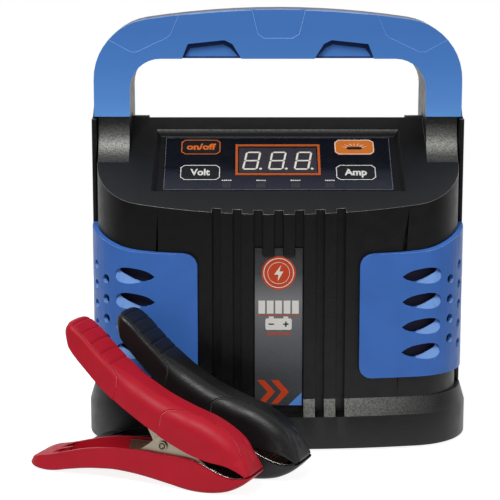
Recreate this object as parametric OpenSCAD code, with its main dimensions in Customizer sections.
// Car battery charger: upright bench charger with a fixed carrying handle, a sloping
// key panel and two insulated battery clamps. Front faces -Y, up is +Z, and the origin
// is the middle of the underside.

/* [Base] */
// Width of the base over its widest place
base_w = 246; // [244:1:270]
// Depth of the base, front to back
base_d = 152; // [148:1:170]
// Height of the base's upright side
base_side_h = 22.7; // [16:0.1:28]
// Height at which the shells stand on the base
base_top_z = 33; // [30:0.5:40]
// Thickness of the base's floor
base_floor = 3; // [2:0.5:4]
// Radius of the base's front corners
base_corner_r = 42; // [36:1:46]
// Height of the rubber feet below the base
foot_h = 1.5; // [0.5:0.5:4]
// Radius of a rubber foot
foot_r = 9; // [6:0.5:12]

/* [Body shells] */
// Width of the rear shell
rear_w = 240; // [236:1:242]
// How far the front shell's sides are set in from the rear shell's
front_inset = 4; // [4:0.5:6]
// Wall thickness of the shells
wall = 3; // [2:0.5:3.5]
// Radius of the bowed front face, seen from above
bow_r = 480; // [400:10:700]
// Front corner radius of the front shell
front_corner_r = 34; // [28:1:38]
// Rear corner radius of the rear shell
rear_corner_r = 30; // [20:1:36]
// Distance from the base's front to the front face
front_setback = 6; // [5:0.5:8]
// Where the rear shell's sides begin, front to back
side_part_y = -22; // [-24:0.5:-20]
// Radius of the rear shell's upper back edge
back_edge_r = 22; // [12:1:30]

/* [Console] */
// Angle of the console above the horizontal
slope_a = 32; // [28:0.5:34]
// Height of the console's front edge
edge_z = 152; // [146:1:156]
// Where the console ends at its top ridge, front to back
ridge_y = 12; // [10:0.5:16]
// Thickness of the console
console_t = 8; // [7:0.5:10]
// Depth of the recess that holds the key film
recess_deep = 4; // [3:0.5:5]
// Slant of the recess's walls: how far they lean out from floor to rim
recess_lean = 2.8; // [1:0.1:3]
// Width of the key film
film_w = 147; // [144:1:150]
// Height of the key film along the slope
film_h = 53; // [52.6:0.1:53.6]
// Distance of the film's lower edge from the console's front edge
film_s = 27.2; // [26.6:0.1:27.6]
// Thickness of the key film
film_t = 0.4; // [0.2:0.1:0.8]

/* [Keys] */
// Width of a key
key_w = 26; // [22:0.5:28]
// Height of a key along the slope
key_h = 15.2; // [12:0.2:17]
// Distance of the keys from the middle
key_x = 50; // [46:0.5:54]
// Distance of the lower keys from the console's front edge
key_low_s = 44.3; // [43:0.1:46]
// Distance of the upper keys from the console's front edge
key_high_s = 69.8; // [66:0.1:71]
// Travel of a key
key_travel = 0.6; // [0.3:0.1:0.8]
// Radius of a key's stem
key_stem_r = 2.4; // [2:0.1:3]

/* [Display] */
// Width of the orange display frame
display_w = 55; // [52:0.5:58]
// Height of the orange display frame along the slope
display_h = 31; // [28:0.2:32]
// Width of the display's window
window_w = 50.6; // [46:0.2:51]
// Height of the display's window
window_h = 25.2; // [22:0.2:26]
// Distance of the display's middle from the console's front edge
display_s = 56.9; // [54:0.1:58]
// Pitch of the four indicator lenses
lens_pitch = 22; // [18:0.5:24]

/* [Grooves and label] */
// Number of grooves down the front
groove_n = 7; // [5:2:7]
// Pitch of the grooves
groove_pitch = 13; // [11:0.5:13]
// Width of a groove
groove_w = 5.8; // [4:0.2:7]
// Depth of a groove
groove_deep = 3.3; // [2:0.1:3.5]
// Width of the label plate
label_w = 30; // [29:0.5:31]
// Height of the label plate's lower edge
label_z = 28.4; // [26:0.2:32]
// Height of the label plate's top tabs
label_top = 130.2; // [120:0.2:136]
// Thickness of the label plate
label_t = 1.6; // [1:0.1:2]

/* [Side guards] */
// Thickness of a guard
guard_t = 2.8; // [2:0.1:3.2]
// Distance of a guard's front edge from the middle
guard_x = 51; // [50:0.5:56]
// Height of a guard's lower edge
guard_z = 46.5; // [42:0.5:50]
// Height of a guard's upper edge at the front
guard_top = 126.5; // [123:0.5:130]
// Number of leaf-shaped vents in a guard
leaf_n = 4; // [2:1:4]
// Pitch of the vents
leaf_pitch = 16.3; // [15:0.1:17]
// Height of the lowest vent
leaf_z = 62.2; // [60:0.2:66]
// Radius of the small round holes
dot_r = 3; // [2:0.1:3.5]
// Pitch of the small round holes
dot_pitch = 12.9; // [11:0.1:13.5]

/* [Handle] */
// Width over the handle's legs
handle_w = 237.6; // [232:0.2:238]
// Height of the grip bar, from the hand opening to the handle's top
grip_h = 31.3; // [29.3:0.5:36.3]
// Radius of the handle's slightly bowed top
crown_r = 580; // [500:10:800]
// Radius of the handle's outer corners
handle_corner_r = 39; // [34:1:44]
// Width of the hand opening
opening_w = 191.4; // [182:0.2:194]
// Height of the hand opening's top
opening_top = 244; // [242:1:246]
// Corner radius of the hand opening
opening_r = 20; // [14:1:24]
// Front to back depth of the grip
grip_d = 36; // [32:1:40]
// Depth of the finger notches under the grip
notch_deep = 5; // [3:0.5:6]
// Height of the blue legs' feet
leg_foot_z = 206.7; // [206.2:0.5:209.7]
// Depth of the shallow pads on the handle
pad_deep = 0.7; // [0.4:0.1:1]

/* [Fan] */
// Side of the square fan
fan_w = 80; // [60:5:80]
// Thickness of the fan
fan_t = 25; // [15:1:25]
// Height of the fan's centre
fan_z = 100; // [90:1:110]
// Number of fan blades
blade_n = 7; // [5:1:9]

/* [Cable glands] */
// Radius of the mains cable's bore
mains_bore_r = 3.8; // [3:0.1:4.5]
// Radius of the charging cable's bore
output_bore_r = 4.6; // [3.5:0.1:5.5]
// Height of the glands
gland_z = 56; // [50:1:62]
// Distance of the glands from the middle
gland_x = 74; // [60:1:80]

/* [Clamps] */
// Width of a clamp's insulated covers
clamp_w = 28; // [26:0.5:30]
// Width of a clamp at its nose
nose_w = 21; // [18:0.5:24]
// Thickness of the covers' side walls
clamp_wall = 2.5; // [2:0.1:3]
// Thickness of the steel
steel_t = 1.5; // [1:0.1:1.8]
// Radius of the rivet
rivet_r = 2; // [1.5:0.1:2.5]
// Angle of a clamp's jaws below the horizontal
clamp_tilt = 13.6; // [12:0.1:14]
// Extra rise of an upper handle over a lower one, each way
handle_lift = 4; // [2:0.1:5]
// Number of grip grooves on a handle
rib_n = 5; // [3:1:6]
// Pitch of the grip grooves
rib_pitch = 7; // [5:0.5:8]
// Turn of the clamps towards the front
clamp_yaw = 23.6; // [20:0.1:26]

/* [Hidden] */

plastic_black = "#1f2022";
handle_blue = "#4476c0";
orange = "#d4702a";
clamp_red = "#b41e2b";
steel_colour = "#a8a396";
copper = "#b98a5e";
board_green = "#2c6e49";

eps = 0.01;
slack = 0.2;            // clearance between fitted plastic pieces
seat_gap = 0.05;        // between a piece and the flat that it is glued or pressed to
round_fn = 48;
base_front = -base_d / 2;
base_back = base_d / 2;
base_z0 = foot_h;
floor_z = base_z0 + base_floor;
front_y = base_front + front_setback;
back_y = base_back - 2;
rear_half = rear_w / 2;
front_half = rear_half - front_inset;
handle_top = opening_top + grip_h;
far_w = 2 * max(base_w, rear_w, handle_w);   // wider than the whole charger
tan_s = tan(slope_a);
ridge_z = edge_z + (ridge_y - front_y) * tan_s;
film_mid_s = film_s + film_h / 2;
film_z = -recess_deep + film_t;      // top of the film, in the console's own frame
key_cap_t = 1.6;
key_cap_top = film_z + 0.2;
key_pocket_z = key_cap_top - key_cap_t - key_travel - slack;
board_top = -console_t - 6.6;        // component side of the control board
board_t = 1.6;
tact_gap = 0.1;
tact_h = 4.5;           // height of a switch over the board, with its plunger
key_corner = 2.6;       // cut corner of a key

function arc(cx, cy, r, a0, a1, n) =
    [for (i = [0:n]) let (a = a0 + (a1 - a0) * i / n) [cx + r * cos(a), cy + r * sin(a)]];
function mirrored(pts) = [for (i = [len(pts) - 1:-1:0]) [-pts[i][0], pts[i][1]]];
function slope_z(y) = edge_z + (y - front_y) * tan_s;

// Half of a bowed plan, from the middle of the front to the straight side.
function bow_half(half, front, r, bow) =
    let (cx = half - r, cy = front + bow - sqrt(pow(bow - r, 2) - cx * cx),
        a = atan2(cx, front + bow - cy))
    concat([for (i = [0:14]) let (t = a * i / 14) [bow * sin(t), front + bow - bow * cos(t)]],
        [for (i = [1:12]) let (t = a + (90 - a) * i / 12) [cx + r * sin(t), cy - r * cos(t)]]);
// Closed plan: bowed front with round corners, flat back with round corners.
function plan_pts(half, front, back, r, rb, bow) =
    let (right = concat(bow_half(half, front, r, bow),
        arc(half - rb, back - rb, rb, 0, 90, 10)))
    concat(right, mirrored(right));
function shell_plan(d) =
    plan_pts(front_half - d, front_y + d, back_y - d, front_corner_r - d,
        rear_corner_r - d, bow_r - d);
// Smooth open line through a few points (Catmull-Rom).
function cr(a, b, c, d, t) =
    0.5 * (2 * b + (c - a) * t + (2 * a - 5 * b + 4 * c - d) * t * t
        + (3 * b - a - 3 * c + d) * t * t * t);
function smooth(p, n) =
    let (last = len(p) - 1)
    concat([for (i = [0:last - 1]) for (j = [0:n - 1])
        cr(p[max(i - 1, 0)], p[i], p[i + 1], p[min(i + 2, last)], j / n)], [p[last]]);

// Sweeps a side view, drawn as [y, z], across the width.
module across(w) {
    rotate([90, 0, 90]) linear_extrude(height = w, center = true) children();
}
// Sweeps a front view, drawn as [x, z], from y0 back to y1.
module along(y0, y1) {
    translate([0, y1, 0]) rotate([90, 0, 0]) linear_extrude(height = y1 - y0) children();
}
// Puts children on the console: x across, y up the slope, z out of it.
module on_console() {
    translate([0, front_y, edge_z]) rotate([slope_a, 0, 0]) children();
}
module box(x0, x1, y0, y1, z0, z1) {
    translate([x0, y0, z0]) cube([x1 - x0, y1 - y0, z1 - z0]);
}
module rod(r, z0, z1) {
    translate([0, 0, z0]) cylinder(r = r, h = z1 - z0, $fn = round_fn);
}
module rod_y(r, y0, y1) {
    translate([0, y1, 0]) rotate([90, 0, 0]) cylinder(r = r, h = y1 - y0, $fn = round_fn);
}
// Flat plate with cut corners.
module chamfered(w, h, c) {
    polygon([[-w / 2 + c, -h / 2], [w / 2 - c, -h / 2], [w / 2, -h / 2 + c],
        [w / 2, h / 2 - c], [w / 2 - c, h / 2], [-w / 2 + c, h / 2],
        [-w / 2, h / 2 - c], [-w / 2, -h / 2 + c]]);
}
module both_sides() {
    children();
    mirror([1, 0, 0]) children();
}

// ---- Base ----
foot_x = 92;
foot_front_y = -38;
foot_back_y = 48;
boss_x = 66;
boss_front_y = -53;
boss_back_y = 62;
boss_pad_z = floor_z + 4.5;
boss_top = base_top_z + 10;
screw_head_r = 3.8;
screw_r = 1.9;

module at_feet() {
    for (x = [-foot_x, foot_x], y = [foot_front_y, foot_back_y]) translate([x, y, 0]) children();
}
module at_bosses() {
    for (x = [-boss_x, boss_x], y = [boss_front_y, boss_back_y]) translate([x, y, 0]) children();
}
module base_plan(d) {
    polygon(plan_pts(base_w / 2 - d, base_front + d, base_back - d, base_corner_r - d,
        rear_corner_r + 2 - d, bow_r - d));
}
module base_top_plan() {
    polygon(plan_pts(rear_half, front_y, back_y, front_corner_r + 4, rear_corner_r, bow_r));
}
module grooves_cut(z0, z1) {
    first = -(groove_n - 1) / 2 * groove_pitch;
    difference() {
        for (i = [0:groove_n - 1])
            translate([first + i * groove_pitch - groove_w / 2, base_front - 4, z0])
                cube([groove_w, 30, z1 - z0]);
        translate([0, 0, z0 - 1]) linear_extrude(height = z1 - z0 + 2)
            polygon(shell_plan(groove_deep));
    }
}
module label_pocket(z0, z1) {
    box(-label_w / 2 - slack / 2, label_w / 2 + slack / 2, base_front - 4,
        front_y + groove_deep, z0, z1);
}
module base_tray() {
    color(plastic_black) difference() {
        union() {
            translate([0, 0, base_z0]) linear_extrude(height = base_side_h - base_z0) base_plan(0);
            hull() {
                translate([0, 0, base_side_h - eps]) linear_extrude(height = eps) base_plan(0);
                translate([0, 0, base_top_z - eps]) linear_extrude(height = eps) base_top_plan();
            }
        }
        difference() {
            union() {
                translate([0, 0, floor_z]) linear_extrude(height = base_side_h - 3 - floor_z)
                    base_plan(wall);
                translate([0, 0, floor_z]) linear_extrude(height = base_top_z)
                    polygon(shell_plan(wall));
            }
            at_bosses() rod(7, 0, boss_pad_z);
            box(-front_half, front_half, base_front, front_y + groove_deep + wall, 0,
                base_top_z + 1);
        }
        grooves_cut(base_side_h, base_top_z + 1);
        label_pocket(base_side_h, base_top_z + 1);
        at_bosses() {
            rod(screw_r + 0.3, 0, boss_pad_z + 1);
            rod(screw_head_r + 0.6, 0, boss_pad_z - 3);
        }
        at_feet() rod(foot_r + slack, 0, base_z0 + 1);
    }
}
module rubber_feet() {
    color("#26262a") at_feet() rod(foot_r, 0, base_z0 + 1);
}
module base_screws() {
    color("silver") at_bosses() {
        rod(screw_r, boss_pad_z - 3 - eps, boss_pad_z + 12);
        difference() {
            rod(screw_head_r, boss_pad_z - 5.4, boss_pad_z - 3);
            for (a = [0, 90]) rotate(a) box(-2.2, 2.2, -0.5, 0.5, 0, boss_pad_z - 4);
        }
    }
}
module shell_boss(y0, y1) {
    difference() {
        union() {
            rod(5, boss_pad_z, boss_top);
            box(-1.5, 1.5, y0, y1, base_top_z + 2, boss_top);
        }
        rod(screw_r + 0.05, boss_pad_z - 1, boss_pad_z + 14);
    }
}

// ---- Front shell ----
stub_x = 96;
stub_front_y = -15;
stub_top = leg_foot_z - slack;
stub_fillet = 26;
front_lap_y = -14;

function stub_side() =
    let (cy = stub_front_y - stub_fillet,
        cz = edge_z + (stub_fillet + sin(slope_a) * (cy - front_y)) / cos(slope_a))
    concat([[ridge_y, stub_top], [stub_front_y, stub_top]],
        arc(cy, cz, stub_fillet, 0, slope_a - 90, 10),
        [[cy + stub_fillet * sin(slope_a) + 4, cz - stub_fillet * cos(slope_a) - 4],
        [ridge_y, slope_z(stub_front_y)]]);
module each_key() {
    for (x = [-key_x, key_x], s = [key_low_s, key_high_s]) translate([x, s, 0]) children();
}
lens_s = film_s + 5.1;
lens_w = 6.6;
lens_h = 4.8;
module each_lens() {
    for (i = [-1.5:1:1.5]) translate([i * lens_pitch, lens_s, 0]) children();
}
standoff_x = film_w / 2 - 5;
standoff_s = [film_s + 3, film_s + film_h - 3];
module each_standoff() {
    for (x = [-standoff_x, standoff_x], s = standoff_s) translate([x, s, 0]) children();
}
// Recess with leaning walls, slightly wider at its lower end.
recess_s0 = film_s - 2.2;
recess_s1 = film_s + film_h + 0.8;
recess_half = film_w / 2 + 4;
recess_splay = 1;
module panel_recess() {
    lean = recess_lean * 20 / recess_deep;
    intersection() {
        across(2 * recess_half + 60) polygon([[recess_s0, -recess_deep], [recess_s1, -recess_deep],
            [recess_s1 + lean, 20 - recess_deep], [recess_s0 - lean, 20 - recess_deep]]);
        side_lean(lean);
        mirror([1, 0, 0]) side_lean(lean);
    }
}
module side_lean(lean) {
    translate([recess_half, recess_s0, 0]) rotate([0, 0, recess_splay]) translate([0, 150, 0])
        rotate([90, 0, 0]) linear_extrude(height = 300) polygon([[-3 * recess_half, -recess_deep],
            [0, -recess_deep], [lean, 20 - recess_deep], [-3 * recess_half, 20 - recess_deep]]);
}
module front_shell() {
    color(plastic_black) difference() {
        union() {
            difference() {
                intersection() {
                    translate([0, 0, base_top_z]) linear_extrude(height = 200)
                        polygon(shell_plan(0));
                    across(far_w) polygon([[base_front, 0], [ridge_y, 0], [ridge_y, ridge_z],
                        [base_front, slope_z(base_front)]]);
                }
                difference() {
                    intersection() {
                        linear_extrude(height = 230) polygon(shell_plan(wall));
                        across(far_w) polygon([[base_front, 0], [ridge_y + 1, 0],
                            [ridge_y + 1, slope_z(ridge_y + 1) - console_t / cos(slope_a)],
                            [base_front, slope_z(base_front) - console_t / cos(slope_a)]]);
                    }
                    box(-groove_n * groove_pitch / 2, groove_n * groove_pitch / 2, base_front,
                        front_y + groove_deep + wall, 0, edge_z + 6);
                }
                box(-far_w, far_w, front_lap_y, ridge_y + 1, 0, edge_z + 12);
            }
            both_sides() intersection() {
                translate([stub_x + (front_half - stub_x) / 2, 0, 0])
                    across(front_half - stub_x) polygon(stub_side());
                linear_extrude(height = 230) polygon(shell_plan(0));
            }
            for (x = [-boss_x, boss_x]) translate([x, boss_front_y, 0]) shell_boss(-11, 0);
            on_console() each_standoff() rod(4, board_top, -console_t + 0.5);
        }
        grooves_cut(base_top_z - 1, edge_z + 20);
        label_pocket(base_top_z - 1, label_top - 4.5);
        on_console() {
            panel_recess();
            each_key() {
                translate([0, 0, key_pocket_z]) linear_extrude(height = 5)
                    square([key_w + 2 * slack, key_h + 2 * slack], center = true);
                rod(key_stem_r + slack, -console_t - 1, 0);
            }
            translate([0, display_s, -console_t - 1]) linear_extrude(height = 12)
                square([window_w, window_h], center = true);
            each_lens() translate([0, 0, -console_t - 1]) linear_extrude(height = 12)
                square([lens_w + slack, lens_h + slack], center = true);
            each_standoff() rod(1.3, board_top - 1, board_top + 5);
        }
        both_sides() for (i = [0:leaf_n - 1])
            translate([leaf_x, leaf_y, leaf_z + i * leaf_pitch]) rotate([0, 0, leaf_a])
                box(-13, 13, -14, 16, -3.6, 6.2);
    }
}

// ---- Rear shell with the rear half of the handle ----
leg_back_y = 38;
grip_back_y = stub_front_y + grip_d;
ear_z = leg_foot_z + 11;
lip_out = 11;           // small ledge beside each leg's root
lip_rise = 0.7;
ear_low_z = leg_foot_z - 1;
ear_x = min(rear_half, handle_w / 2) - wall;

// Side view of the joint between the handle's front cover and rear half.
handle_joint = smooth([for (p = [[4, 200], [4.5, 210], [7, 226], [12.5, 241], [16, 254],
    [16.5, 266], [16.5, 290]]) [stub_front_y + p[0], p[1]]], 4);
function arch_outer(d) =
    let (half = handle_w / 2 - d, r = handle_corner_r - d, big = crown_r - d,
        cx = half - r, low = handle_top - crown_r, cz = low + sqrt(pow(big - r, 2) - cx * cx),
        a = atan2(cx, cz - low))
    concat([[half, 190]], arc(cx, cz, r, 0, 90 - a, 10),
        [for (i = [1:6]) let (t = a * (1 - i / 6)) [big * sin(t), low + big * cos(t)]]);
function arch_inner(d, top) =
    let (half = opening_w / 2 + d, r = opening_r + d)
    concat([[half, 190]], arc(half - r, top + d - r, r, 0, 90, 8));
module arch(d, top) {
    right = arch_outer(d);
    hole = arch_inner(d, top);
    difference() {
        polygon(concat(right, mirrored(right)));
        polygon(concat(hole, mirrored(hole)));
    }
}
module handle_back_side(d) {
    polygon(concat([for (p = handle_joint) p + [d > 0 ? -1 : 0, 0]],
        [[grip_back_y - d, 290]],
        [for (i = [10:-1:0]) let (a = 90 * i / 10)
            [grip_back_y + (leg_back_y - grip_back_y) * cos(a) - d, 214 + 46 * sin(a)]],
        [[leg_back_y - d, 197 + d]]));
}
module handle_screw_places() {
    for (x = [-1, 1]) {
        translate([x * grip_screw_x, 0, handle_top - 11]) children();
        translate([x * (opening_w / 2 - 9), 0, handle_top - 19]) children();
    }
}
screw_sink = 6;
screw_tip_y = stub_front_y + 5.5;
grip_screw_x = 42;      // the inner pair of handle screws, from the middle
module rear_profile(d) {
    top_back = ridge_z - 7;
    polygon(concat([[ridge_y - (d > 0 ? 1 : 0), base_top_z - (d > 0 ? 1 : 0)],
        [back_y - d, base_top_z - (d > 0 ? 1 : 0)]],
        arc(back_y - back_edge_r, top_back - back_edge_r, back_edge_r - d, 0, 82, 10),
        [[ridge_y - (d > 0 ? 1 : 0), ridge_z - d]]));
}
module rear_shell() {
    color(plastic_black) difference() {
        union() {
            difference() {
                intersection() {
                    linear_extrude(height = 300) polygon(plan_pts(rear_half, front_y - 20, back_y,
                        front_corner_r, rear_corner_r, bow_r));
                    across(far_w) rear_profile(0);
                }
                intersection() {
                    linear_extrude(height = 300) polygon(plan_pts(rear_half - wall, front_y - 20,
                        back_y - wall, front_corner_r, rear_corner_r - wall, bow_r));
                    across(far_w) rear_profile(wall);
                }
            }
            both_sides() {
                box(rear_half - wall, rear_half, side_part_y, ridge_y + eps, base_top_z, ear_low_z);
                difference() {
                    along(stub_front_y + 1, leg_back_y) polygon([
                        [rear_half - wall, ridge_z - 9], [rear_half, ridge_z - 9],
                        [rear_half, ear_low_z], [handle_w / 2, ear_z], [ear_x, ear_z],
                        [ear_x, leg_foot_z + slack], [rear_half - wall, leg_foot_z + slack]]);
                    intersection() {
                        across(far_w) cover_side(0);
                        box(0, far_w, -60, 60, leg_foot_z - slack, 300);
                    }
                }
            }
            difference() {
                intersection() {
                    along(-60, 60) arch(0, opening_top);
                    across(far_w) handle_back_side(0);
                    union() {
                        box(-far_w, far_w, ridge_y, 90, 197, 300);
                        box(-far_w, far_w, -60, ridge_y, leg_foot_z, 300);
                    }
                }
                difference() {
                    intersection() {
                        along(-60, 60) arch(wall, opening_top);
                        across(far_w) handle_back_side(wall);
                        box(-far_w, far_w, -60, 90, leg_foot_z + wall, 300);
                    }
                    handle_screw_places() rod_y(4.5, -60, 60);
                }
            }
            for (x = [-boss_x, boss_x]) translate([x, boss_back_y, 0]) shell_boss(0, 10);
            both_sides() box(opening_w / 2 - lip_out, opening_w / 2 + eps, ridge_y + 1, ridge_y + 7,
                ridge_z - wall, ridge_z + lip_rise);
        }
        handle_screw_places() {
            rod_y(screw_r + 0.3, -60, 60);
            rod_y(screw_head_r + 0.4, grip_back_y - screw_sink, 60);
        }
        translate([0, back_y, fan_z]) fan_slots();
        for (s = [[-gland_x, mains_bore_r], [gland_x, output_bore_r]])
            translate([s[0], back_y, gland_z]) rod_y(s[1] + 3 + slack / 2, -wall - 1, 1);
        for (x = [-1, 1], z = [-1, 1])
            translate([x * fan_hole, back_y, fan_z + z * fan_hole])
                rod_y(fan_hole_r, -wall - 1, 1);
    }
}
module handle_screws() {
    color("silver") handle_screw_places() {
        rod_y(screw_r, screw_tip_y, grip_back_y - screw_sink + eps);
        rod_y(screw_head_r, grip_back_y - screw_sink, grip_back_y - screw_sink + 2.4);
    }
}

// ---- Blue handle cover ----
module notch_shape(grow) {
    polygon([[23.5 - grow, opening_top - 20], [23.5 - grow, opening_top], [29.4 - grow,
        opening_top + 9.5], [34.5, opening_top + 12 + grow], [58 + grow, opening_top + 9.5 + grow],
        [61.8 + grow, opening_top], [61.8 + grow, opening_top - 20]]);
}
module both_pads() {
    for (m = [0, 1]) mirror([m, 0]) children();
}
module handle_cover() {
    color(handle_blue) difference() {
        union() {
            difference() {
                cover_mass(0);
                cover_mass(wall);
            }
            intersection() {
                cover_mass(0);
                union() {
                    both_sides() along(stub_front_y, stub_front_y + notch_deep + 2.5) notch_shape(2.5);
                    handle_screw_places() rod_y(4.5, -30, 20);
                }
            }
        }
        both_sides() along(stub_front_y - 1, stub_front_y + notch_deep) notch_shape(0);
        along(stub_front_y - 1, stub_front_y + pad_deep) {
            translate([0, handle_top]) {
                polygon([[-20, 14], [-12.8, -15.4], [-9, -18], [9, -18], [13.6, -15.4], [20.8, 14]]);
                both_pads() polygon([[64, -3.6], [69.3, -15.8], [71.5, -17.7], [91, -26.8],
                    [94.6, -26.8], [112, -17.2], [130, 4], [64, 24]]);
            }
        }
        handle_screw_places() rod_y(screw_r + 0.05, screw_tip_y - 0.7, 20);
    }
}
// Side view of everything in front of the handle's joint, shifted back by a distance.
module cover_side(back) {
    polygon(concat([[stub_front_y - 1, 200], [stub_front_y - 1, 290]],
        [for (i = [len(handle_joint) - 1:-1:0]) handle_joint[i] + [back, 0]]));
}
module cover_mass(d) {
    intersection() {
        along(stub_front_y + d, 20) arch(d, opening_top);
        across(far_w) cover_side(d > 0 ? 1 : -slack);
        box(-far_w, far_w, -60, 60, leg_foot_z + d, 300);
    }
}

// ---- Side guards ----
guard_inner_gap = 0.1;
guard_corner_r = front_corner_r + 4;
guard_top_line = smooth([[base_front - 8, guard_top], [-67, guard_top + 0.1],
    [-60, guard_top + 2.4], [-54, guard_top + 5.2], [-46, guard_top + 8.2],
    [-35, guard_top + 11], [side_part_y, guard_top + 12.8]], 3);
leaf_outline = smooth([[-12.3, 0.5], [-8.7, 2.9], [-5, 4.3], [-0.5, 5.2], [4.8, 5.7], [9.6, 5.2],
    [12.9, 3.6], [14.1, 0.6], [13, -2.6], [9.8, -4.2], [5, -4.6], [0.5, -4.1], [-4, -3.1],
    [-8.7, -1.9], [-12.3, 0.5]], 3);
leaf_slot = smooth([[-12.3, 0.5], [-8.7, 2.9], [-5, 4.3], [-0.5, 5.2], [4.8, 5.7], [9.6, 5.2],
    [11.8, 4], [10.3, 2.1], [5, -0.3], [0.7, -2], [-3.7, -3], [-8.7, -1.9], [-12.3, 0.5]], 3);
scoop_y = 2.3;          // where a vent's sloping lower lip meets the guard's face
scoop_slope = 0.39;
function scoop_at(z) = scoop_y + scoop_slope * (z + 4.7);
leaf_a = 20;            // angle of the vents' axis from the front
leaf_x = front_half - 25;
leaf_y = -66.5;
module guard_front() {
    r = 8;
    top = guard_top + 40;
    difference() {
        polygon(concat([[rear_half + 5, guard_z]], [[rear_half + 5, top], [guard_x, top]],
            arc(guard_x + r, guard_z + r, r, 180, 270, 6)));
        difference() {
            translate([guard_x - 1, guard_top - r]) square([r + 1, r + 60]);
            translate([guard_x + r, guard_top - r]) circle(r = r, $fn = round_fn);
            translate([guard_x + r, guard_top - r]) square([60, 80]);
        }
    }
}
module one_guard() {
    r_out = guard_corner_r;
    difference() {
        intersection() {
            difference() {
                linear_extrude(height = 200) polygon(plan_pts(front_half + guard_t + 0.9,
                    front_y - guard_t, back_y, r_out, rear_corner_r, bow_r + guard_t));
                linear_extrude(height = 200) polygon(shell_plan(-guard_inner_gap));
            }
            along(base_front - 8, side_part_y - slack) guard_front();
            across(far_w) polygon(concat([[side_part_y, 0], [base_front - 8, 0]],
                guard_top_line));
        }
        for (i = [0:leaf_n - 1]) translate([leaf_x, leaf_y, leaf_z + i * leaf_pitch])
            rotate([0, 0, leaf_a]) {
                along(-14, 16) polygon(leaf_slot);
                intersection() {
                    along(-14, 12) polygon(leaf_outline);
                    across(60) polygon([[-14, -8], [scoop_at(-8), -8], [scoop_at(8), 8], [-14, 8]]);
                }
            }
        for (c = [[front_half - 3.6, front_y + 14.8, 51, 0, 4],
            [front_half + 2.2, front_y + 26.8, 74, -0.42, 5]], i = [0:c[4] - 1])
            translate([c[0], c[1], 68.8 + (i + c[3]) * dot_pitch]) rotate([0, 0, c[2]])
                rod_y(dot_r, -12, 12);
    }
}
module right_guard() {
    color(handle_blue) one_guard();
}
module left_guard() {
    color(handle_blue) mirror([1, 0, 0]) one_guard();
}

// ---- Label plate in the grooves ----
module label_plate() {
    rib_end = label_top - 4.6;
    back = front_y + groove_deep - seat_gap;
    color("#5a5c60") along(back - label_t, back) union() {
        polygon([[-label_w / 2, label_z], [label_w / 2, label_z], [label_w / 2, rib_end],
            [-label_w / 2, rib_end]]);
        for (i = [-1:1]) intersection() {
            translate([i * groove_pitch - groove_w / 2 + slack / 2, rib_end - eps])
                square([groove_w - slack, label_top - rib_end]);
            translate([-label_w / 2, 0]) square([label_w, 300]);
        }
    }
}

// ---- Key panel ----
module panel_film() {
    color("#14151a") on_console() translate([0, 0, -recess_deep]) difference() {
        translate([0, film_mid_s, 0]) linear_extrude(height = film_t)
            chamfered(film_w, film_h, 1);
        translate([0, 0, -1]) linear_extrude(height = 5) {
            translate([0, display_s]) square([window_w, window_h], center = true);
            for (i = [-1.5:1:1.5]) translate([i * lens_pitch, lens_s])
                square([lens_w, lens_h], center = true);
            for (x = [-key_x, key_x], s = [key_low_s, key_high_s]) translate([x, s])
                chamfered(key_w + slack, key_h + slack, key_corner);
        }
    }
}
module key(colour) {
    color(colour) union() {
        translate([0, 0, key_cap_top - key_cap_t]) linear_extrude(height = key_cap_t)
            chamfered(key_w - slack, key_h - slack, key_corner);
        rod(key_stem_r, board_top + tact_h + key_travel + tact_gap,
            key_cap_top - key_cap_t + eps);
    }
}
module on_off_key() {
    on_console() translate([-key_x, key_high_s, 0]) key("#17181c");
}
module volt_key() {
    on_console() translate([-key_x, key_low_s, 0]) key("#17181c");
}
module boost_key() {
    on_console() translate([key_x, key_high_s, 0]) key(orange);
}
module amp_key() {
    on_console() translate([key_x, key_low_s, 0]) key("#17181c");
}
module display_frame() {
    color(orange) on_console() translate([0, display_s, film_z])
        linear_extrude(height = 0.5) difference() {
            square([display_w, display_h], center = true);
            square([window_w, window_h], center = true);
        }
}
module display_module() {
    color("#2b2a33") on_console() translate([0, display_s, board_top])
        linear_extrude(height = film_z - board_top)
            square([window_w - 2 * slack, window_h - 2 * slack], center = true);
}
module indicator_lenses() {
    color("#5b5f68") on_console() each_lens() translate([0, 0, -console_t])
        linear_extrude(height = console_t + film_z)
            square([lens_w - slack, lens_h - slack], center = true);
}
module indicator_leds() {
    color("#e8e4d8") on_console() each_lens() {
        rod(2, board_top, board_top + 1);
        rod(1.5, board_top + 1 - eps, -console_t - 0.3);
    }
}
module control_board() {
    color(board_green) on_console() difference() {
        translate([0, film_mid_s, board_top - board_t]) linear_extrude(height = board_t)
            square([film_w, film_h], center = true);
        each_standoff() rod(1.5, board_top - 5, board_top + 5);
    }
}
module control_board_screws() {
    color("silver") on_console() each_standoff() {
        rod(1.25, board_top - board_t - eps, board_top + 4);
        rod(2.6, board_top - board_t - 1.8, board_top - board_t);
    }
}
module tact_switches() {
    color("#3a3a3e") on_console() each_key() {
        translate([0, 0, board_top]) linear_extrude(height = tact_h - 1) square(6, center = true);
        rod(1.7, board_top + tact_h - 1 - eps, board_top + tact_h);
    }
}
module buzzer() {
    color("#202022") on_console() translate([0, film_s + 12, 0]) difference() {
        rod(6, board_top - board_t - 8, board_top - board_t);
        rod(1, board_top - board_t - 9, board_top - board_t - 5);
    }
}

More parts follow.
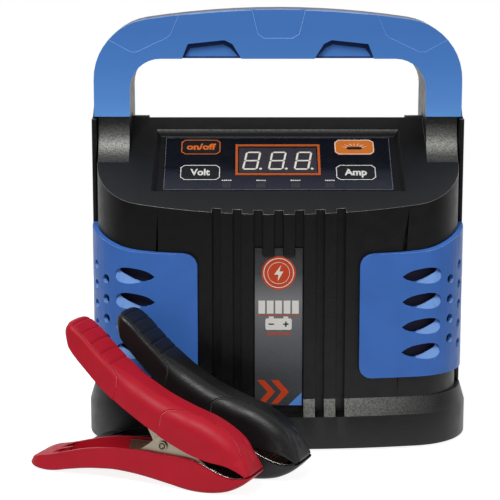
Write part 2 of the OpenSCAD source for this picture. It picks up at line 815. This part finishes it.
// ---- Inside ----
core_x = -50;
core_y = -2;
core_w = 84;
core_d = 44;
core_h = 70;
coil_gap = 0.3;
module transformer_core() {
    x0 = core_x - core_w / 2;
    win_w = 15;
    color("#6b6f74") difference() {
        union() {
            box(x0, x0 + core_w, core_y - core_d / 2, core_y + core_d / 2, floor_z + 2,
                floor_z + 2 + core_h);
            for (y = [-1, 1]) box(x0, x0 + core_w, core_y + y * (core_d / 2 + 5) - 7,
                core_y + y * (core_d / 2 + 5) + 7, floor_z, floor_z + 2 + eps);
        }
        for (x = [-1, 1]) box(core_x + x * 21 - win_w / 2, core_x + x * 21 + win_w / 2,
            core_y - core_d, core_y + core_d, floor_z + 2 + 14, floor_z + 2 + core_h - 14);
    }
}
module transformer_coil() {
    leg = 42 - 15;
    color("#8c5a2b") difference() {
        box(core_x - leg / 2 - 14, core_x + leg / 2 + 14, core_y - core_d / 2 - 12,
            core_y + core_d / 2 + 12, floor_z + 16.3, floor_z + core_h - 12.3);
        box(core_x - leg / 2 - coil_gap, core_x + leg / 2 + coil_gap, core_y - core_d / 2 - coil_gap,
            core_y + core_d / 2 + coil_gap, floor_z, floor_z + core_h + 5);
    }
}
board_x0 = 8;
board_x1 = 100;
board_y0 = -46;
board_y1 = 38;
power_z = floor_z + 8;
module each_board_corner() {
    for (x = [board_x0 + 6, board_x1 - 6], y = [board_y0 + 6, board_y1 - 6])
        translate([x, y, 0]) children();
}
module board_standoffs() {
    color("gold") each_board_corner() {
        rod(3, floor_z, power_z);
        rod(1.4, power_z - eps, power_z + board_t);
        rod(2.6, power_z + board_t, power_z + board_t + 2);
    }
}
module power_board() {
    color(board_green) difference() {
        box(board_x0, board_x1, board_y0, board_y1, power_z, power_z + board_t);
        each_board_corner() rod(1.6, 0, 60);
    }
}
comp_z = power_z + board_t;
sink_x = 74;            // inner face of the heat sink, from the middle
sink_t = 3;
sink_l = 62;
sink_h = 46;
sink_fin = 18;          // how far a fin stands out
sink_n = 9;
module heat_sink() {
    color("silver") translate([sink_x, board_y0 + 12, comp_z]) union() {
        cube([sink_t, sink_l, sink_h]);
        for (i = [0:sink_n - 1]) translate([sink_t - eps, 1 + i * (sink_l - 3.6) / (sink_n - 1), 0])
            cube([sink_fin, 1.6, sink_h]);
    }
}
module rectifier() {
    color("#1b1b1d") for (y = [-20, 2]) {
        box(sink_x - 4.5, sink_x, y, y + 15.5, comp_z + 8, comp_z + 28);
        for (i = [0:2]) box(sink_x - 3, sink_x - 2, y + 2.3 + i * 5, y + 3.3 + i * 5, comp_z, comp_z + 8 + eps);
    }
}
module capacitors() {
    color("#2d3f6b") for (y = [-30, -7, 16]) translate([24, y, 0]) rod(9, comp_z, comp_z + 34);
}
module relay() {
    color("#2f4f8f") box(40, 60, -34, -6, comp_z, comp_z + 24);
}
module fuse_holder() {
    color("#c8a13a") union() {
        box(42, 60, 2, 12, comp_z, comp_z + 8);
        box(44, 58, 4.5, 9.5, comp_z + 8 - eps, comp_z + 20);
    }
}
module terminal_block() {
    color("#3f8f5f") difference() {
        box(34, 66, 20, 32, comp_z, comp_z + 16);
        for (i = [0:2]) translate([40 + i * 10, 26, 0]) rod(2.4, comp_z + 9, comp_z + 20);
    }
}

// ---- Fan ----
fan_hole = fan_w / 2 - 4.2;
fan_hole_r = 2.2;
fan_y1 = back_y - wall;
fan_y0 = fan_y1 - fan_t;
fan_hub_r = 17;
fan_r = fan_w / 2 - 3;
fan_pin_r = 1.5;
module fan_slots() {
    pitch = 7;
    slot = 4;
    n = floor((fan_r - 4) / pitch);
    for (i = [-n:n]) let (half = sqrt(pow(fan_r - 1, 2) - pow(i * pitch, 2)))
        box(-half, half, -wall - 1, 1, i * pitch - slot / 2, i * pitch + slot / 2);
}
module fan_frame() {
    color("#242427") translate([0, 0, fan_z]) difference() {
        union() {
            difference() {
                box(-fan_w / 2, fan_w / 2, fan_y0, fan_y1, -fan_w / 2, fan_w / 2);
                rod_y(fan_r, fan_y0 - 1, fan_y1 + 1);
            }
            rod_y(fan_hub_r, fan_y1 - 3, fan_y1);
            for (a = [45:90:315]) rotate([0, a, 0])
                box(0, fan_r + 2, fan_y1 - 3, fan_y1, -2, 2);
            rod_y(fan_pin_r, fan_y0 + 6, fan_y1 - 2);
        }
        for (x = [-1, 1], z = [-1, 1]) translate([x * fan_hole, 0, z * fan_hole])
            rod_y(fan_hole_r, fan_y0 - 1, fan_y1 + 1);
    }
}
module fan_rotor() {
    color("#303034") translate([0, 0, fan_z]) difference() {
        union() {
            rod_y(fan_hub_r, fan_y0 + 2, fan_y1 - 4);
            for (i = [0:blade_n - 1]) rotate([0, i * 360 / blade_n, 0])
                translate([fan_hub_r - 2, (fan_y0 + fan_y1) / 2 - 1, 0]) rotate([38, 0, 0])
                    box(0, fan_r - fan_hub_r + 0.5, -11, 11, -0.9, 0.9);
        }
        rod_y(fan_pin_r + 0.05, fan_y0 + 5, fan_y1);
    }
}
module fan_screws() {
    color("silver") for (x = [-1, 1], z = [-1, 1])
        translate([x * fan_hole, 0, fan_z + z * fan_hole]) {
            rod_y(1.9, fan_y0 + 4, back_y + eps);
            rod_y(3.6, back_y, back_y + 1.6);
        }
}

// ---- Cable glands ----
module gland(bore, x) {
    color("#232327") translate([x, back_y, gland_z]) difference() {
        union() {
            rod_y(bore + 3, -wall - 6, eps);
            rod_y(bore + 5.5, 0, 1.6);
            rod_y(bore + 4.5, -wall - 6, -wall - 0.1);
        }
        rod_y(bore, -wall - 7, 3);
    }
}
module mains_gland() {
    gland(mains_bore_r, -gland_x);
}
module output_gland() {
    gland(output_bore_r, gland_x);
}

// ---- Clamps ----
// Outlines in a clamp's own plane: x along the jaws from the rivet, y away from the
// closing line. The inner edge faces the other half.
outer_line = [[-74, 47.7], [-66, 45], [-57, 40.3], [-46, 34.9], [-37, 31.2], [-26, 27.3],
    [-10, 23.8], [8, 21.8], [22, 20.8], [33, 18.4], [44, 14], [51, 9], [56, 3.6], [57.6, 0.2]];
inner_line = [[55, 0.5], [52, 2], [48, 3.6], [41, 4.2], [31, 3], [21, 1.7], [11, 2.9],
    [0, 5.2], [-10, 7.4], [-20, 10.2], [-34, 14.8], [-47, 20.4], [-57, 26], [-66, 31.4],
    [-72, 35.2], [-77.4, 38.6], [-80, 42], [-80.2, 45]];
function lifted(p, lift) = [p[0], p[1] + (p[0] < 0 ? -p[0] / 75 * lift : 0)];
function cover_outline(lift) =
    smooth(concat([for (p = outer_line) lifted(p, lift)],
        [for (p = inner_line) lifted(p, lift * 0.6)],
        [lifted([-78.4, 47.6], lift), lifted([-74, 47.7], lift)]), 2);
function inner_v(u) = lookup(u, [for (i = [len(inner_line) - 1:-1:0]) inner_line[i]]);
clamp_tooth = 2.2;
cheek_out = clamp_w / 2 - clamp_wall - 0.3;   // half the width over the lower steel cheeks
cheek_gap = 0.2;
steel_tail = 30;        // how far the steel reaches back from the rivet
steel_clear = 0.25;     // between the steel and a cover's side wall

// Seen from above: width over the covers, with a round tail and a narrower nose.
tail_u = -82;
tail_r = 8;
function clamp_plan(d) =
    let (half = clamp_w / 2 - d, r = tail_r - d)
    concat([[60, -nose_w / 2 + d], [44, -half]],
        arc(tail_u + tail_r, -half + r, r, 270, 180, 4),
        arc(tail_u + tail_r, half - r, r, 180, 90, 4),
        [[44, half], [60, nose_w / 2 - d]]);
module within_plan(d) {
    intersection() {
        children();
        translate([0, 0, -100]) linear_extrude(height = 200) polygon(clamp_plan(d));
    }
}
// Sweeps a clamp outline, drawn in its plane, over y0..y1 of the clamp's width.
module clamp_slab(y0, y1) {
    translate([0, y1, 0]) rotate([90, 0, 0]) linear_extrude(height = y1 - y0) children();
}
module cover_half(lift) {
    half = clamp_w / 2;
    difference() {
        union() {
            within_plan(2.4) clamp_slab(-half, half) polygon(cover_outline(lift));
            within_plan(0.9) clamp_slab(-half, half) offset(delta = -0.8)
                polygon(cover_outline(lift));
            within_plan(0) clamp_slab(-half, half) offset(delta = -2)
                polygon(cover_outline(lift));
        }
        within_plan(clamp_wall) clamp_slab(-half, half) intersection() {
            union() {
                translate([0, -3.2]) polygon(cover_outline(lift));
                translate([0, -8]) polygon(cover_outline(lift));
            }
            translate([-73, -40]) square([73 + 49, 120]);
        }
        for (k = [0:rib_n - 1]) let (u = -71 + k * rib_pitch,
            v = lookup(u, outer_line) - u / 75 * lift)
            translate([u, 0, v + 0.6]) rod_y(1.2, -half + 5, half - 5);
    }
}
// Steel half: two cheeks that meet at the rivet, and the web that joins them.
module steel_half(lift, out) {
    difference() {
        within_plan(clamp_wall + steel_clear) union() {
            for (s = [0, 1]) mirror([0, s, 0]) clamp_slab(out - steel_t, out) {
                intersection() {
                    translate([0, -3.4]) polygon(cover_outline(lift));
                    translate([0, 1.2]) polygon(cover_outline(lift));
                    translate([-steel_tail, -5]) square([steel_tail + 43, 80]);
                }
                circle(r = 6.2, $fn = round_fn);
                polygon(lobe);
            }
            clamp_slab(-out + eps, out - eps) intersection() {
                difference() {
                    translate([0, -3.4]) polygon(cover_outline(lift));
                    translate([0, -3.4 - steel_t]) polygon(cover_outline(lift));
                }
                translate([-steel_tail, 5]) square([steel_tail + 43, 80]);
            }
        }
        rod_y(rivet_r + (out < cheek_out ? 0.05 : 0.02), -30, 30);
    }
}
module contact_half(half) {
    n = 14;
    pts = [for (k = [0:2 * n]) let (u = 25 + k * clamp_tooth / 2)
        [u, inner_v(u) + (k % 2 == 0 ? 0.5 : -0.4)]];
    clamp_slab(-half, half) polygon(concat([for (p = pts) if (p[0] < 48.5) p],
        [[48.4, inner_v(48.4) + 2.2], [41, inner_v(41) + 2.2], [33, inner_v(33) + 2.2],
        [25, inner_v(25) + 2.2]]));
}
module rivet() {
    rod_y(rivet_r, -cheek_out - 0.1, cheek_out + 0.1);
    for (s = [0, 1]) mirror([0, s, 0]) difference() {
        rod_y(2.9, cheek_out + 0.02, cheek_out + 1.3);
        rod_y(1.1, cheek_out + 0.8, cheek_out + 2);
    }
}
spring_leg_a = 20;      // how far the spring's leg turns into the lower half
module spring_coil() {
    difference() {
        rod_y(4.4, -5, 5);
        rod_y(rivet_r + 0.6, -6, 6);
    }
    translate([0, -4, 0]) rotate([0, spring_leg_a, 0]) box(-24, -3.4, -0.8, 0.8, -4.2, -2.6);
}
lobe = [[-16, 10], [-9, 2], [-5.5, -3], [4, -4.7], [12, -3.2], [22, -1], [31, 2.4],
    [31, 6], [-16, 13]];
// Lowest point of a clamp half below the rivet, once tilted.
function drop(lift) = -min([for (p = cover_outline(lift))
    -p[0] * sin(clamp_tilt) - p[1] * cos(clamp_tilt)]);
clamp_z = drop(-handle_lift);
// Each clamp: rivet's x and y, and how much less it turns to the front.
red_place = [-65.2, -134.6, 0];
black_place = [-35.9, -108.6, 1.1];
module clamp_at(place) {
    translate([place[0], place[1], clamp_z]) rotate([0, 0, place[2] - clamp_yaw])
        rotate([0, clamp_tilt, 0]) children();
}
module lower_half() {
    mirror([0, 0, 1]) children();
}
upper_out = cheek_out - steel_t - cheek_gap;
module lower_jaw() {
    lower_half() steel_half(-handle_lift, cheek_out);
}
module upper_jaw() {
    steel_half(handle_lift, upper_out);
}
module lower_contact() {
    lower_half() contact_half(cheek_out - steel_t - seat_gap);
}
module upper_contact() {
    contact_half(upper_out - steel_t - seat_gap);
}
module red_lower_cover() {
    color(clamp_red) clamp_at(red_place) lower_half() cover_half(-handle_lift);
}
module red_upper_cover() {
    color(clamp_red) clamp_at(red_place) cover_half(handle_lift);
}
module red_lower_jaw() {
    color(steel_colour) clamp_at(red_place) lower_jaw();
}
module red_upper_jaw() {
    color(steel_colour) clamp_at(red_place) upper_jaw();
}
module red_lower_contact() {
    color(copper) clamp_at(red_place) lower_contact();
}
module red_upper_contact() {
    color(copper) clamp_at(red_place) upper_contact();
}
module red_rivet() {
    color(steel_colour) clamp_at(red_place) rivet();
}
module red_spring() {
    color("#8a8a88") clamp_at(red_place) lower_half() spring_coil();
}
module black_lower_cover() {
    color(plastic_black) clamp_at(black_place) lower_half() cover_half(-handle_lift);
}
module black_upper_cover() {
    color(plastic_black) clamp_at(black_place) cover_half(handle_lift);
}
module black_lower_jaw() {
    color(steel_colour) clamp_at(black_place) lower_jaw();
}
module black_upper_jaw() {
    color(steel_colour) clamp_at(black_place) upper_jaw();
}
module black_lower_contact() {
    color(copper) clamp_at(black_place) lower_contact();
}
module black_upper_contact() {
    color(copper) clamp_at(black_place) upper_contact();
}
module black_rivet() {
    color(steel_colour) clamp_at(black_place) rivet();
}
module black_spring() {
    color("#8a8a88") clamp_at(black_place) lower_half() spring_coil();
}

base_tray();
rubber_feet();
front_shell();
rear_shell();
handle_cover();
left_guard();
right_guard();
label_plate();
panel_film();
display_frame();
display_module();
indicator_lenses();
indicator_leds();
on_off_key();
volt_key();
boost_key();
amp_key();
control_board();
tact_switches();
buzzer();
control_board_screws();
transformer_core();
transformer_coil();
power_board();
board_standoffs();
heat_sink();
rectifier();
capacitors();
relay();
fuse_holder();
terminal_block();
fan_frame();
fan_rotor();
fan_screws();
mains_gland();
output_gland();
base_screws();
handle_screws();
red_lower_cover();
red_lower_jaw();
red_lower_contact();
red_rivet();
red_spring();
red_upper_cover();
red_upper_jaw();
red_upper_contact();
black_lower_cover();
black_lower_jaw();
black_lower_contact();
black_rivet();
black_spring();
black_upper_cover();
black_upper_jaw();
black_upper_contact();
